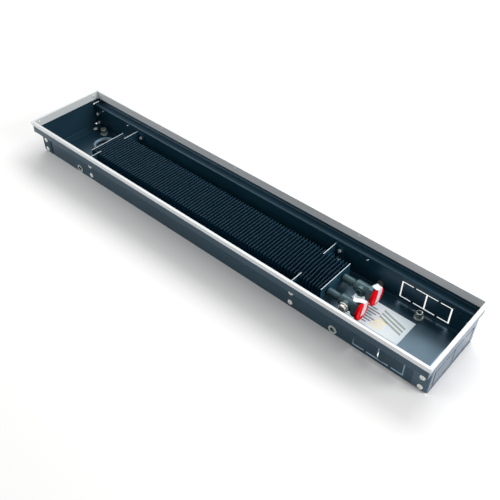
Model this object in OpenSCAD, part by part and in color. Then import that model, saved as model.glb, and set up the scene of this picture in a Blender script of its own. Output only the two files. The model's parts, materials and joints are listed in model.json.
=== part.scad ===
// Trench convector heater: a shallow steel trough that is set into a floor, with an
// edge frame for the grille, a finned heat exchanger on two brackets, and capped pipe
// connections in the bay at the right.
// X runs along the trough, Y across it towards the back and Z up. The origin is in the
// middle of the underside. All sizes are millimetres.

/* [Trough] */
// Length over the edge frame
overall_length = 1050; // [1000:10:1400]
// Width over the edge frame
overall_width = 195; // [190:1:240]
// Height from the underside to the top of the edge frame
overall_height = 87.5; // [82:0.5:110]
// Thickness of the folded steel sheet
sheet_t = 1.2; // [1:0.1:1.5]
// Inside radius of each fold in the sheet
fold_r = 1.5; // [1:0.1:2]
// How far each long wall steps in under the edge frame
step_in = 20; // [18:0.5:21]
// Depth from the top of the frame to the ledge that carries the grille
grille_depth = 27.5; // [22:0.5:29]
// Gap between the end of a ledge and the end wall
ledge_end_gap = 3.2; // [2:0.1:5]
// Length of the side flanges of an end wall
side_flange = 31; // [28:0.5:36]
// Length of the bottom flange of an end wall
bottom_flange = 26; // [24:0.5:30]
// Gap left between sheets that are riveted together
seam_gap = 0.1; // [0.05:0.05:0.2]

/* [Edge frame] */
// Wall of the aluminium edge profile
frame_wall = 1.8; // [1.5:0.1:2.2]
// Height of the outer leg of the edge profile
frame_outer_leg = 9; // [8:0.5:14]
// Height of the inner leg of the edge profile
frame_inner_leg = 18.5; // [12:0.5:19]
// Clearance between the edge profile and the sheet in it
frame_fit = 0.3; // [0.2:0.05:0.4]
// Gap at each mitre of the edge frame
mitre_gap = 0.15; // [0.1:0.05:0.3]

/* [Knock-outs] */
// Width of one knock-out panel in a long wall
knockout_w = 50.75; // [45:0.25:56]
// Distance from the side folds of the right end wall to its outer slits
end_knockout_side = 9.6; // [6:0.1:16]
// Height of the knock-out panels
knockout_h = 37.3; // [30:0.1:40]
// Height of the lower slit above the underside
knockout_z = 9.6; // [7:0.1:10]
// Distance from the end of the trough to the outer slit of a long wall
knockout_inset = 51.2; // [45:0.1:55]
// Width of the slits round a panel
slit_w = 3; // [2:0.1:4]
// Width of the bridges that hold a panel
bridge_w = 5; // [3:0.5:8]

/* [Half-moon lances] */
// Radius of a half-moon lance under the ledge
lance_r = 11.5; // [9:0.5:13]
// Width of the cut round a lance
lance_cut = 1; // [0.6:0.1:1.5]
// Depth of the lance below its own straight side
lance_depth = 6.8; // [5:0.1:8]
// Distance of the straight side of a lance below the ledge
lance_drop = 6.3; // [4:0.1:7]
// Distance from the left end to the first lance
lance_outer_left = 29.5; // [26:0.5:34]
// Distance from the right end to the last lance
lance_outer_right = 38.5; // [30:0.5:40]
// Distance from the left end to the second lance
lance_left = 122; // [100:1:140]
// Distance from the right end to the second lance
lance_right = 240; // [190:1:260]

/* [Heat exchanger] */
// Length over the end plates
exchanger_length = 652; // [600:1:660]
// Distance from the left end of the trough to the exchanger
exchanger_inset = 148; // [140:0.5:150]
// Width of the fins across the trough
fin_w = 92; // [84:0.5:100]
// Height of the fins
fin_h = 36; // [32:0.5:40]
// Thickness of a fin
fin_t = 0.4; // [0.3:0.05:0.6]
// Number of fins
fin_count = 88; // [80:1:96]
// Thickness of the end plates
end_plate_t = 1; // [0.8:0.1:1.5]
// Height of the tube axes above the underside
tube_z = 34; // [32:0.5:36]
// Outside diameter of the water tubes
tube_d = 12; // [10:0.5:14]
// Wall of the water tubes
tube_wall = 0.8; // [0.6:0.1:1.2]
// Distance between the two tube axes
tube_pitch = 48; // [46:0.5:54]
// Clearance of a tube in its fins and plates
tube_fit = 0.05; // [0.03:0.01:0.08]
// Length of tube left of the exchanger, up to where the return bend turns
bend_reach = 12.5; // [9:0.5:16]

/* [Brackets] */
// Thickness of the bracket sheet
bracket_t = 1.2; // [1:0.1:1.5]
// Fins between the left end plate and the left bracket
bracket_left_fins = 2; // [1:1:5]
// Fins between the right end plate and the right bracket
bracket_right_fins = 7; // [5:1:10]
// Height of the bracket ears above the underside
bracket_ear_z = 51; // [47:0.5:52]
// Height of the bracket between the tubes
bracket_saddle_z = 37; // [36:0.5:39]
// Half the width of the low middle of a bracket
bracket_mid = 34; // [33:0.5:39]
// Length of the wall flange of a bracket
bracket_flange = 20.5; // [15:0.5:22]

/* [Pipe connections] */
// Length of tube between the right end plate and a tee
tee_stub = 2; // [1:0.5:12]
// Outside diameter of the tube socket of a tee
tee_socket_d = 15.5; // [15:0.5:18]
// Length of the tube socket of a tee
tee_socket_l = 23.5; // [12:0.5:26]
// Depth that the tube enters a tee
tee_tube_depth = 8; // [6:0.5:9]
// Length of the shoulder from the socket to the tee body
tee_shoulder_l = 6; // [4:0.5:8]
// Outside diameter of a tee body
tee_body_d = 23.5; // [22:0.5:26]
// Length of a tee body
tee_body_l = 22; // [19:0.5:26]
// Outside diameter of the collar between the body and the hexagon
tee_collar_d = 24.5; // [24:0.5:27]
// Length of the collar with the groove behind it
tee_collar_l = 8.5; // [6:0.5:10]
// Width and depth of the groove between the collar and the hexagon
tee_groove = 1.2; // [0.6:0.1:2]
// Size of the hexagon across its flats
tee_hex_af = 33; // [31:0.5:35]
// Length of the hexagon
tee_hex_l = 10.5; // [10:0.1:18]
// Radius of the threaded socket in the hexagon
port_r = 12.05; // [11:0.05:12.5]
// Thickness of the hexagon left behind its threaded socket
port_floor = 1.7; // [1.5:0.1:2]
// Distance from the shoulder of a tee to the axis of its side boss
boss_at = 15.2; // [12:0.1:18]
// Diameter of the side boss of a tee
boss_d = 21; // [16:0.5:22]
// How far the face of a side boss stands out beyond the collar
boss_proud = 0.4; // [0.4:0.1:4]
// Radius of the thread in the side boss
boss_bore_r = 6; // [5:0.25:6.5]
// Depth of the thread in the side boss
boss_bore_l = 6.5; // [5.5:0.25:6.5]

/* [Vent, plug and caps] */
// Thickness of the gaskets under the vent and the plug
gasket_t = 0.8; // [0.6:0.1:1.5]
// Thickness of the flange of the vent
vent_flange_t = 2.5; // [2:0.25:4]
// Thickness of the flange of the blank plug
plug_flange_t = 1.5; // [1.25:0.25:3]
// Diameter of the flange of the blank plug
plug_flange_d = 16; // [13:0.5:17]
// Diameter of the bleed screw
bleed_d = 16; // [12:0.5:17]
// Length of the bleed screw outside the vent
bleed_l = 5.5; // [4:0.25:7]
// Diameter of the bleed screw's stem in the vent
bleed_stem_d = 5; // [4:0.25:6]
// Length of the stem below the face of the boss
bleed_stem_l = 3; // [2:0.25:4]
// Number of notches round the bleed screw
bleed_notches = 12; // [8:1:16]
// Diameter of a red cap
cap_d = 39.5; // [37:0.5:42]
// Thickness of a red cap
cap_t = 5.5; // [3:0.25:8]
// Length of the cap's spigot in the threaded socket
cap_spigot_l = 7; // [5:0.5:8]
// Clearance between a cap and its tee
cap_fit = 0.4; // [0.3:0.05:0.5]
// Width of the paper tape over a cap
tape_w = 14.5; // [8:0.5:16]
// Thickness of the paper tape
tape_t = 0.35; // [0.3:0.05:0.6]
// Distance of the middle of a tape from the axis of its cap
tape_aside = 4; // [0:0.5:5]
// Lean of a tape from the upright, round the axis of its cap, in degrees
tape_lean = 14; // [0:1:20]
// Distance that the front tape reaches down the face below the axis of its cap
tape_front_drop = 10; // [5:0.5:15]
// Distance that the back tape reaches down the face below the axis of its cap
tape_back_drop = 15; // [5:0.5:15]
// Length of the loose end of the front tape
tape_front_tail = 12; // [8:0.5:14]
// Length of the loose end of the back tape
tape_back_tail = 11; // [6:0.5:12]
// Slope of the loose end of the front tape in degrees
tape_front_lift = 8; // [4:1:10]
// Slope of the loose end of the back tape in degrees
tape_back_lift = 25; // [10:1:30]
// Radius of the curl at the end of the front tape
tape_curl_r = 7; // [3:0.25:8]

/* [Level adjusters] */
// Distance from the left end to the left adjusters
level_left = 52; // [50:0.5:60]
// Distance from the right end to the right adjusters
level_right = 101; // [88:0.5:106]
// Distance from the inside of a long wall to the adjusters
level_wall = 16; // [13:0.5:20]
// Diameter of the flange of an adjuster bush
bush_flange_d = 18; // [17:0.5:22]
// Thickness of the flange of an adjuster bush
bush_flange_t = 1.5; // [1.2:0.1:2]
// Diameter of the neck of an adjuster bush
bush_neck_d = 13; // [12:0.5:15]
// Height of the neck above the underside
bush_top_z = 15; // [13:0.5:18]
// Diameter of the adjusting screw over its thread
level_screw_d = 8.4; // [7:0.1:9]
// Running clearance of the adjusting screw in its bush, on the radius
level_fit = 0.08; // [0.05:0.01:0.1]
// Size of the hexagon socket in the adjusting screw across its flats
level_hex_af = 5; // [4:0.5:5.5]
// Depth of the hexagon socket
level_hex_l = 4.5; // [3:0.5:5]
// Thickness of the swivel tip under the adjusting screw
level_tip_t = 2.5; // [2:0.25:3]
// Height of the retracted tip above the underside
level_tip_z = 0.3; // [0.2:0.05:0.5]

/* [Wall inserts] */
// Distance from the left end plate of the exchanger to the left threaded inserts
insert_left_gap = 11; // [9:0.5:16]
// Place of the right inserts between the bracket rivets and the first slit, as a share
insert_right_share = 0.69; // [0.5:0.01:0.75]
// Height of the threaded inserts above the underside
insert_z = 12; // [11:0.5:15]
// Diameter of the outer flange of a threaded insert
insert_flange_d = 18; // [17:0.5:19]
// Thickness of the outer flange of a threaded insert
insert_flange_t = 1; // [0.8:0.1:1.5]
// Diameter of the inner barrel of a threaded insert
insert_barrel_d = 15.5; // [14.5:0.5:16]
// Step from the inner barrel of a threaded insert down to its neck
insert_step = 1.5; // [1:0.1:1.8]
// Length of the inner barrel of a threaded insert
insert_barrel_l = 8; // [7:0.5:10]
// Radius of the thread in a threaded insert
insert_bore_r = 5.1; // [4.5:0.05:5.4]

/* [Rivets] */
// Diameter of a rivet shank
rivet_d = 4.8; // [4:0.1:5]
// Diameter of a rivet head
rivet_head_d = 11; // [9:0.5:12]
// Height of a rivet head
rivet_head_t = 1.3; // [1:0.1:2]
// Diameter of the mandrel hole in a rivet head
rivet_hole_d = 3; // [2:0.1:3.2]
// Diameter of the closed end of a rivet
rivet_tail_d = 7; // [6.5:0.1:8]
// Length of the closed end of a rivet
rivet_tail_l = 3; // [2.5:0.1:4]
// Height of the lower rivets of the brackets
rivet_low_z = 12.5; // [12:0.5:15]
// Height of the upper rivets of the brackets
rivet_high_z = 37.5; // [34:0.5:40]
// Height of the lower rivets of the end walls
end_rivet_low_z = 10.5; // [10:0.5:15]
// Height of the upper rivets of the end walls
end_rivet_high_z = 35; // [30:0.5:40]
// Distance from the end of the trough to the rivets of the side flanges
rivet_inset = 16; // [15:0.5:19]
// Distance from the end of the trough to the rivets of the bottom flanges
floor_rivet_inset = 21; // [18:0.5:21]
// Distance from the inside of a long wall to the rivets of the bottom flanges
floor_rivet_wall = 17.5; // [12:0.5:24]
// Diameter of the head of a frame rivet
frame_rivet_d = 5; // [4:0.25:6]
// Depth of the frame rivets below the top of the frame
frame_rivet_drop = 7; // [5:0.25:8]
// Distance from the outside of the frame to the rivets in its short sides
frame_rivet_inset = 19; // [15:0.5:22]
// Distance from the left end to the left rivets in the long sides
frame_rivet_left = 235; // [200:5:300]
// Distance from the left end to the middle rivets in the long sides
frame_rivet_mid = 463; // [400:1:560]
// Distance from the right end to the right rivets in the long sides
frame_rivet_right = 267; // [200:1:320]

/* [Label] */
// Length of the paper label on the trough floor
label_l = 126.5; // [100:0.5:130]
// Width of the paper label
label_w = 65; // [50:0.5:66]
// Thickness of the paper label
label_t = 0.3; // [0.2:0.05:0.5]
// Place of the label along the right bay, 0 at the bracket and 1 at the end wall
label_along = 0.48; // [0.3:0.01:0.6]
// Place of the label across the right bay, 0 at the front adjuster and 1 at the back one
label_across = 0.76; // [0.5:0.01:0.9]

/* [Hidden] */
$fn = 48;
over = 1;

half_l = overall_length / 2;
half_w = overall_width / 2;
fold_out = fold_r + sheet_t;

// Outer face of the end walls, outer face of the upper long walls, top of the sheet
plate_x = half_l - frame_wall - frame_fit;
skin_y = half_w - frame_wall - frame_fit;
sheet_top_z = overall_height - frame_wall - frame_fit;
frame_depth = 2 * frame_wall + 2 * frame_fit + sheet_t;

// Lower long walls, ledge and the face that the ledge offers to the grille
low_out_y = half_w - step_in;
low_in_y = low_out_y - sheet_t;
ledge_z = overall_height - grille_depth;
wall_end_x = plate_x - fold_out - seam_gap;
ledge_end_x = plate_x - sheet_t - ledge_end_gap;

// End wall flanges
flange_y = low_out_y + seam_gap + sheet_t;
flange_z0 = sheet_t + seam_gap;
flange_x0 = plate_x - side_flange;
flange_top_z = ledge_z - sheet_t - fold_out;
bottom_half_y = low_in_y - fold_out - over;
end_flat_y = flange_y - fold_out;
end_knockout_w = end_flat_y - end_knockout_side - slit_w / 2;
rivet_x = half_l - rivet_inset;
floor_rivet_x = half_l - floor_rivet_inset;
floor_rivet_y = low_in_y - floor_rivet_wall;
rivet_hole_gap = 0.1;

// Exchanger faces, fin spacing and bracket planes
exchanger_x0 = -half_l + exchanger_inset;
exchanger_x1 = exchanger_x0 + exchanger_length;
fin_pitch = exchanger_length / (fin_count + 1);
bracket_left_x = exchanger_x0 + (bracket_left_fins + 0.5) * fin_pitch;
bracket_right_x = exchanger_x1 - (bracket_right_fins + 0.5) * fin_pitch;
bracket_y = low_in_y - seam_gap;
bracket_rivet_dx = bracket_flange / 2 + bracket_t / 2;
bend_x = exchanger_x0 - bend_reach;
bend_joint = bend_reach / 2;
tube_y = tube_pitch / 2;
tube_hole_r = tube_d / 2 + tube_fit;

// Stations along a tee, from the exchanger to the cap
tee_x0 = exchanger_x1 + tee_stub;
tee_shoulder_x = tee_x0 + tee_socket_l;
tee_body_x = tee_shoulder_x + tee_shoulder_l;
tee_collar_x = tee_body_x + tee_body_l;
tee_hex_x = tee_collar_x + tee_collar_l;
tee_x1 = tee_hex_x + tee_hex_l;
tee_boss_x = tee_body_x + boss_at;
port_l = tee_hex_l - port_floor;
boss_reach = tee_collar_d / 2 + boss_proud;
tee_chamfer = 1;
hex_chamfer = 2.2;
cap_x = tee_x1 + cap_fit;
cap_x1 = cap_x + cap_t;
cap_edge = 1;
tape_gap = 0.1;

// Bleed screw in the vent
stem_clearance = 0.05;
gasket_inset = 1;
bleed_hole_r = bleed_stem_d / 2 + 0.08;
bleed_gap = 0.3;

// Level adjusters
level_hole_r = level_screw_d / 2 + level_fit;
level_screw_z0 = level_tip_z + level_tip_t;
tip_pin_d = 4;
tip_pin_l = 2.5;
tip_pin_gap = 0.08;
tip_pin_end = 0.3;
tip_gap = 0.05;
tip_inset = 0.35;
screw_sink = 2;
bush_seat_d = 12;
bush_chamfer = 0.8;
flange_chamfer = 0.4;
bush_seat_fit = 0.1;
plug_socket_r = 4;
plug_socket_l = 2.5;

level_x = [-half_l + level_left, half_l - level_right];
level_y = low_in_y - level_wall;
lance_x = [
  -half_l + lance_outer_left, -half_l + lance_left,
  half_l - lance_right, half_l - lance_outer_right
];

// Threaded inserts: the right pair lies between the bracket rivets and the first slit
bracket_rivet_x = [bracket_left_x + bracket_rivet_dx, bracket_right_x + bracket_rivet_dx];
first_slit_x = half_l - knockout_inset - 2 * knockout_w;
insert_x = [
  exchanger_x0 - insert_left_gap,
  bracket_rivet_x[1] + insert_right_share * (first_slit_x - bracket_rivet_x[1])
];
frame_rivet_x = [-half_l + frame_rivet_left, -half_l + frame_rivet_mid, half_l - frame_rivet_right];
frame_rivet_y = [frame_rivet_inset - half_w, half_w - frame_rivet_inset];
frame_rivet_shank = 0.6 * frame_rivet_d;
insert_neck_d = insert_barrel_d - 2 * insert_step;

// The free floor of the right bay that the label lies on
bay_x0 = bracket_right_x + bracket_t / 2 + bracket_flange;
bay_x1 = plate_x - bottom_flange;
bay_half_y = level_y - bush_flange_d / 2;
label_x = bay_x0 + label_along * (bay_x1 - bay_x0 - label_l);
label_y = -bay_half_y + label_across * (2 * bay_half_y - label_w);

PAN = "#1d2a33";
SILVER = "#c8cbcb";
EXCHANGER = "#14242e";
FITTING = "#5f7478";

// ---- helpers ----

// A box from its lowest to its highest corner
module block(low, high) {
  translate(low) cube(high - low);
}

// A quarter fold of the sheet in 2D, in the quadrant that the signs give
module fold(centre, sx, sy) {
  reach = fold_out + over;
  translate(centre) intersection() {
    difference() {
      circle(r = fold_out);
      circle(r = fold_r);
    }
    translate([min(sx, 0) * reach, min(sy, 0) * reach]) square(reach);
  }
}

// Extrudes a Y-Z section along X, evenly about x = 0
module along_x(length) {
  translate([-length / 2, 0, 0]) rotate([90, 0, 90]) linear_extrude(height = length) children();
}

// Turns a shape that stands on +Z so that it points along +Y or -Y
module facing_y(side) {
  rotate([-90 * side, 0, 0]) children();
}

// A cylinder along X from x0 to x1
module rod_x(x0, x1, radius) {
  translate([x0, 0, 0]) rotate([0, 90, 0]) cylinder(r = radius, h = x1 - x0);
}

// The slits round two knock-out panels side by side, in 2D with the middle slit at x = 0
module knockout_slits(panel_w) {
  for (edge = [-1:1])
    translate([edge * panel_w - slit_w / 2, -slit_w / 2]) square([slit_w, knockout_h + slit_w]);
  for (panel = [-1, 0], level = [0, 1])
    translate([panel * panel_w, level * knockout_h - slit_w / 2]) {
      square([panel_w / 2 - bridge_w / 2, slit_w]);
      translate([panel_w / 2 + bridge_w / 2, 0]) square([panel_w / 2 - bridge_w / 2, slit_w]);
    }
}

// The curved cut of a half-moon lance, in 2D with its straight side on y = 0
module lance_slit() {
  intersection() {
    translate([0, lance_r - lance_depth]) difference() {
      circle(r = lance_r);
      circle(r = lance_r - lance_cut);
    }
    translate([-lance_r, -lance_depth - over]) square([2 * lance_r, lance_depth + over]);
  }
}

// A blind rivet along +Z: its head stands on z = 0 and it grips the sheets below
module rivet(grip) {
  rotate_extrude() polygon([
    [rivet_hole_d / 2, -grip], [rivet_hole_d / 2, rivet_head_t], [rivet_head_d / 4, rivet_head_t],
    [rivet_head_d / 2 - 0.4, rivet_head_t / 2], [rivet_head_d / 2, 0], [rivet_d / 2, 0],
    [rivet_d / 2, -grip], [rivet_tail_d / 2, -grip - 0.6], [rivet_tail_d / 2, -grip - rivet_tail_l],
    [0, -grip - rivet_tail_l], [0, -grip]
  ]);
}

// The hole that a rivet passes through, in the sheets between two depths
module rivet_hole(top, bottom) {
  translate([0, 0, bottom - over])
    cylinder(d = rivet_d + 2 * rivet_hole_gap, h = top - bottom + 2 * over);
}

// ---- trough ----

// The sections of one long side of the trough, each in Y and Z
module floor_section() {
  square([2 * (low_out_y - fold_out), sheet_t]);
}

module low_wall_section() {
  fold([low_out_y - fold_out, fold_out], 1, -1);
  translate([low_in_y, fold_out]) square([sheet_t, ledge_z - 2 * fold_out]);
}

module ledge_section() {
  fold([low_out_y + fold_r, ledge_z - fold_out], -1, 1);
  translate([low_out_y + fold_r, ledge_z - sheet_t])
    square([skin_y - fold_out - low_out_y - fold_r, sheet_t]);
}

module rim_section() {
  fold([skin_y - fold_out, ledge_z - sheet_t + fold_out], 1, -1);
  translate([skin_y - sheet_t, ledge_z - sheet_t + fold_out])
    square([sheet_t, sheet_top_z - ledge_z + sheet_t - fold_out]);
}

// Everything that is cut through a long wall at side +1 or -1
module long_wall_cuts(side) {
  for (x = bracket_rivet_x, z = [rivet_low_z, rivet_high_z])
    translate([x, side * low_out_y, z]) facing_y(side) rivet_hole(0, -sheet_t);
  for (x = [-rivet_x, rivet_x], z = [end_rivet_low_z, end_rivet_high_z])
    translate([x, side * low_out_y, z]) facing_y(side) rivet_hole(0, -sheet_t);
  for (x = insert_x)
    translate([x, side * (low_out_y - sheet_t - over), insert_z]) facing_y(side)
      cylinder(d = insert_neck_d + 2 * seam_gap, h = sheet_t + 2 * over);
  translate([0, side * (low_out_y - sheet_t / 2), 0]) rotate([90, 0, 0])
    linear_extrude(height = sheet_t + 2 * over, center = true) {
      translate([half_l - knockout_inset - knockout_w, knockout_z]) knockout_slits(knockout_w);
      for (x = lance_x)
        translate([x, ledge_z - lance_drop]) lance_slit();
    }
}

module trough_pan() color(PAN) difference() {
  union() {
    translate([0, -(low_out_y - fold_out), 0]) along_x(2 * plate_x) floor_section();
    for (side = [0, 1]) mirror([0, side, 0]) {
      along_x(2 * wall_end_x) low_wall_section();
      along_x(2 * ledge_end_x) ledge_section();
      along_x(2 * (plate_x - sheet_t - seam_gap)) rim_section();
    }
  }
  for (side = [-1, 1]) {
    long_wall_cuts(side);
    for (end = [-1, 1])
      translate([end * floor_rivet_x, side * floor_rivet_y, sheet_t]) rivet_hole(0, -sheet_t);
    for (x = level_x)
      translate([x, side * level_y, -over]) cylinder(d = bush_seat_d, h = sheet_t + 2 * over);
  }
}

// The end wall for the +X end, with or without its knock-out panels
module end_wall(knockouts) {
  flat_z = flange_z0 + fold_out;
  difference() {
    union() {
      block([plate_x - sheet_t, -end_flat_y, flat_z], [plate_x, end_flat_y, sheet_top_z]);
      block([plate_x - sheet_t, -skin_y, ledge_z - sheet_t], [plate_x, skin_y, sheet_top_z]);
      // Bottom flange and its fold
      block([plate_x - bottom_flange, -bottom_half_y, flange_z0],
            [plate_x - fold_out, bottom_half_y, flange_z0 + sheet_t]);
      translate([0, bottom_half_y, 0]) rotate([90, 0, 0]) linear_extrude(height = 2 * bottom_half_y)
        fold([plate_x - fold_out, flat_z], 1, -1);
      // Side flanges and their folds
      for (side = [0, 1]) mirror([0, side, 0]) {
        translate([0, 0, flat_z]) linear_extrude(height = flange_top_z - flat_z)
          fold([plate_x - fold_out, end_flat_y], 1, 1);
        block([flange_x0, flange_y - sheet_t, flat_z], [plate_x - fold_out, flange_y, flange_top_z]);
      }
    }
    for (side = [-1, 1]) {
      for (z = [end_rivet_low_z, end_rivet_high_z])
        translate([rivet_x, side * flange_y, z]) facing_y(side) rivet_hole(0, -sheet_t);
      translate([floor_rivet_x, side * floor_rivet_y, flange_z0 + sheet_t]) rivet_hole(0, -sheet_t);
    }
    if (knockouts)
      translate([plate_x - sheet_t - over, 0, knockout_z]) rotate([90, 0, 90])
        linear_extrude(height = sheet_t + 2 * over) knockout_slits(end_knockout_w);
  }
}

module end_wall_left() color(PAN) mirror([1, 0, 0]) end_wall(false);

module end_wall_right() color(PAN) end_wall(true);

// Eight rivets in the side flanges and four in the bottom flanges
module wall_rivets() color(SILVER)
  for (end = [-1, 1], side = [-1, 1]) {
    for (z = [end_rivet_low_z, end_rivet_high_z])
      translate([end * rivet_x, side * flange_y, z]) facing_y(side) rivet(flange_y - low_in_y);
    translate([end * floor_rivet_x, side * floor_rivet_y, flange_z0 + sheet_t]) floor_rivet();
  }

// A flush rivet for the floor: its far end stays inside the thickness of the sheet
module floor_rivet() {
  grip = flange_z0 + sheet_t;
  rotate_extrude() polygon([
    [0, -grip], [rivet_d / 2, -grip], [rivet_d / 2, 0], [rivet_head_d / 2, 0],
    [rivet_head_d / 2 - 0.4, rivet_head_t / 2], [rivet_head_d / 4, rivet_head_t], [0, rivet_head_t]
  ]);
}

// ---- edge frame ----

// Section of the edge profile: the outer face is on x = 0 and the top on y = 0
module frame_section() {
  translate([0, -frame_wall]) square([frame_depth, frame_wall]);
  translate([0, -frame_outer_leg]) square([frame_wall, frame_outer_leg]);
  translate([frame_depth - frame_wall, -frame_inner_leg]) square([frame_wall, frame_inner_leg]);
}

// One mitred side, along X, with its outer face at y = -reach
module frame_bar(half_length, reach) {
  cut = frame_depth + over;
  intersection() {
    translate([0, -reach, overall_height]) along_x(2 * half_length) frame_section();
    linear_extrude(height = overall_height + over) polygon([
      [-half_length + mitre_gap, -reach], [half_length - mitre_gap, -reach],
      [half_length - mitre_gap - cut, cut - reach], [-half_length + mitre_gap + cut, cut - reach]
    ]);
  }
}

// A frame bar with the holes of its rivets at the places given along it
module drilled_bar(half_length, reach, rivets_at) {
  difference() {
    frame_bar(half_length, reach);
    for (at = rivets_at)
      translate([at, -reach + frame_depth, overall_height - frame_rivet_drop])
        facing_y(1) translate([0, 0, -frame_wall - over])
          cylinder(d = frame_rivet_shank + 2 * rivet_hole_gap, h = frame_wall + 2 * over);
  }
}

module frame_front() color(SILVER) drilled_bar(half_l, half_w, frame_rivet_x);

module frame_back() color(SILVER) mirror([0, 1, 0]) drilled_bar(half_l, half_w, frame_rivet_x);

module frame_left() color(SILVER) rotate([0, 0, -90])
  drilled_bar(half_w, half_l, frame_rivet_y);

module frame_right() color(SILVER) rotate([0, 0, 90])
  drilled_bar(half_w, half_l, frame_rivet_y);

// Small domed rivets in the inner leg, each seated on the sheet inside the profile
module frame_rivets() color(SILVER) {
  for (side = [0, 1], x = frame_rivet_x)
    mirror([0, side, 0]) frame_rivet(x, half_w);
  for (turn = [90, -90], y = frame_rivet_y)
    rotate([0, 0, turn]) frame_rivet(y, half_l);
}

module frame_rivet(at, reach) {
  translate([at, -reach + frame_depth, overall_height - frame_rivet_drop]) facing_y(1)
    rotate_extrude() polygon([
      [0, -frame_wall - frame_fit], [frame_rivet_shank / 2, -frame_wall - frame_fit],
      [frame_rivet_shank / 2, 0], [frame_rivet_d / 2, 0], [frame_rivet_d / 2 - 0.5, 0.8],
      [frame_rivet_d / 4, 1.2], [0, 1.2]
    ]);
}

// ---- heat exchanger ----

// A plate of the exchanger, in Y and Z about the tube axes
module plate_section(width, height) {
  difference() {
    square([width, height], center = true);
    for (side = [-1, 1]) translate([side * tube_y, 0]) circle(r = tube_hole_r);
  }
}

module plate_at(x, thickness, width, height) {
  translate([x, 0, tube_z]) rotate([90, 0, 90]) linear_extrude(height = thickness, center = true)
    plate_section(width, height);
}

module fin_pack() color(EXCHANGER)
  for (i = [1:fin_count])
    plate_at(exchanger_x0 + i * fin_pitch, fin_t, fin_w, fin_h);

module end_plate_left() color(EXCHANGER)
  plate_at(exchanger_x0 + end_plate_t / 2, end_plate_t, fin_w, fin_h);

module end_plate_right() color(EXCHANGER)
  plate_at(exchanger_x1 - end_plate_t / 2, end_plate_t, fin_w, fin_h);

// A water tube from the return bend to the socket of its tee
module tube(side) {
  translate([0, side * tube_y, tube_z]) difference() {
    rod_x(exchanger_x0 - bend_joint, tee_x0 + tee_tube_depth, tube_d / 2);
    rod_x(exchanger_x0 - bend_joint - over, tee_x0 + tee_tube_depth + over, tube_d / 2 - tube_wall);
  }
}

module tube_front() color(EXCHANGER) tube(-1);

module tube_back() color(EXCHANGER) tube(1);

module tube_ring() {
  difference() {
    circle(d = tube_d);
    circle(d = tube_d - 2 * tube_wall);
  }
}

module return_bend() color(FITTING) translate([bend_x, 0, tube_z]) {
  rotate([0, 0, 90]) rotate_extrude(angle = 180) translate([tube_y, 0]) tube_ring();
  for (side = [-1, 1])
    translate([0, side * tube_y, 0]) rotate([90, 0, 90])
      linear_extrude(height = bend_reach - bend_joint) tube_ring();
}

// ---- brackets ----

// The upright sheet of a bracket in Y and Z, with open saddles for the tubes
module bracket_section() {
  foot_z = sheet_t + seam_gap;
  difference() {
    translate([-bracket_y, foot_z]) square([2 * bracket_y, bracket_ear_z - foot_z]);
    translate([-bracket_mid, bracket_saddle_z]) square([2 * bracket_mid, bracket_ear_z]);
    for (side = [-1, 1]) translate([side * tube_y, tube_z]) {
      circle(r = tube_hole_r);
      translate([-tube_hole_r, 0]) square([2 * tube_hole_r, bracket_ear_z]);
    }
    // Corners cut away over the folds of the trough
    for (side = [-1, 1]) translate([side * bracket_y - fold_out, 0]) square([2 * fold_out, 2 * fold_out]);
  }
}

module bracket(x) {
  translate([x, 0, 0]) rotate([90, 0, 90]) linear_extrude(height = bracket_t, center = true)
    bracket_section();
  for (side = [0, 1]) mirror([0, side, 0]) difference() {
    block([x - bracket_t / 2, bracket_y - bracket_t, 2 * fold_out],
          [x - bracket_t / 2 + bracket_flange, bracket_y, bracket_ear_z - 2]);
    for (z = [rivet_low_z, rivet_high_z])
      translate([x + bracket_rivet_dx, bracket_y, z]) facing_y(1) rivet_hole(0, -bracket_t);
  }
}

module bracket_left() color(EXCHANGER) bracket(bracket_left_x);

module bracket_right() color(EXCHANGER) bracket(bracket_right_x);

module bracket_rivets() color(SILVER)
  for (x = bracket_rivet_x, side = [-1, 1], z = [rivet_low_z, rivet_high_z])
    translate([x, side * low_out_y, z]) facing_y(side)
      rivet(low_out_y - bracket_y + bracket_t);

// ---- pipe connections ----

module tee(side) color(FITTING) translate([0, side * tube_y, tube_z]) difference() {
  union() {
    rotate([0, 90, 0]) rotate_extrude() polygon([
      [0, tee_x0], [tee_socket_d / 2 - tee_chamfer, tee_x0],
      [tee_socket_d / 2, tee_x0 + tee_chamfer], [tee_socket_d / 2, tee_shoulder_x - tee_chamfer],
      [tee_socket_d / 2 - tee_chamfer, tee_shoulder_x],
      [tee_socket_d / 2 - tee_chamfer, tee_shoulder_x + 2 * tee_chamfer],
      [tee_body_d / 2 - tee_chamfer, tee_body_x], [tee_body_d / 2, tee_body_x + tee_chamfer],
      [tee_body_d / 2, tee_collar_x], [tee_collar_d / 2, tee_collar_x + tee_chamfer],
      [tee_collar_d / 2, tee_hex_x - tee_groove], [tee_collar_d / 2 - tee_groove, tee_hex_x - tee_groove],
      [tee_collar_d / 2 - tee_groove, tee_hex_x + over], [0, tee_hex_x + over]
    ]);
    hex_end();
    translate([tee_boss_x, 0, 0]) facing_y(-1) cylinder(d = boss_d, h = boss_reach);
  }
  // Tube socket, water way, threaded port, then the thread of the side boss and its passage
  rod_x(tee_x0 - over, tee_x0 + tee_tube_depth + tube_fit, tube_hole_r);
  rod_x(tee_x0, tee_x1, tube_d / 2 - tube_wall);
  rod_x(tee_x1 - port_l, tee_x1 + over, port_r);
  translate([tee_boss_x, -boss_reach + boss_bore_l, 0]) facing_y(-1)
    cylinder(r = boss_bore_r, h = boss_bore_l + over);
  translate([tee_boss_x, 0, 0]) facing_y(-1) cylinder(r = boss_bore_r / 2, h = boss_reach);
}

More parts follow.
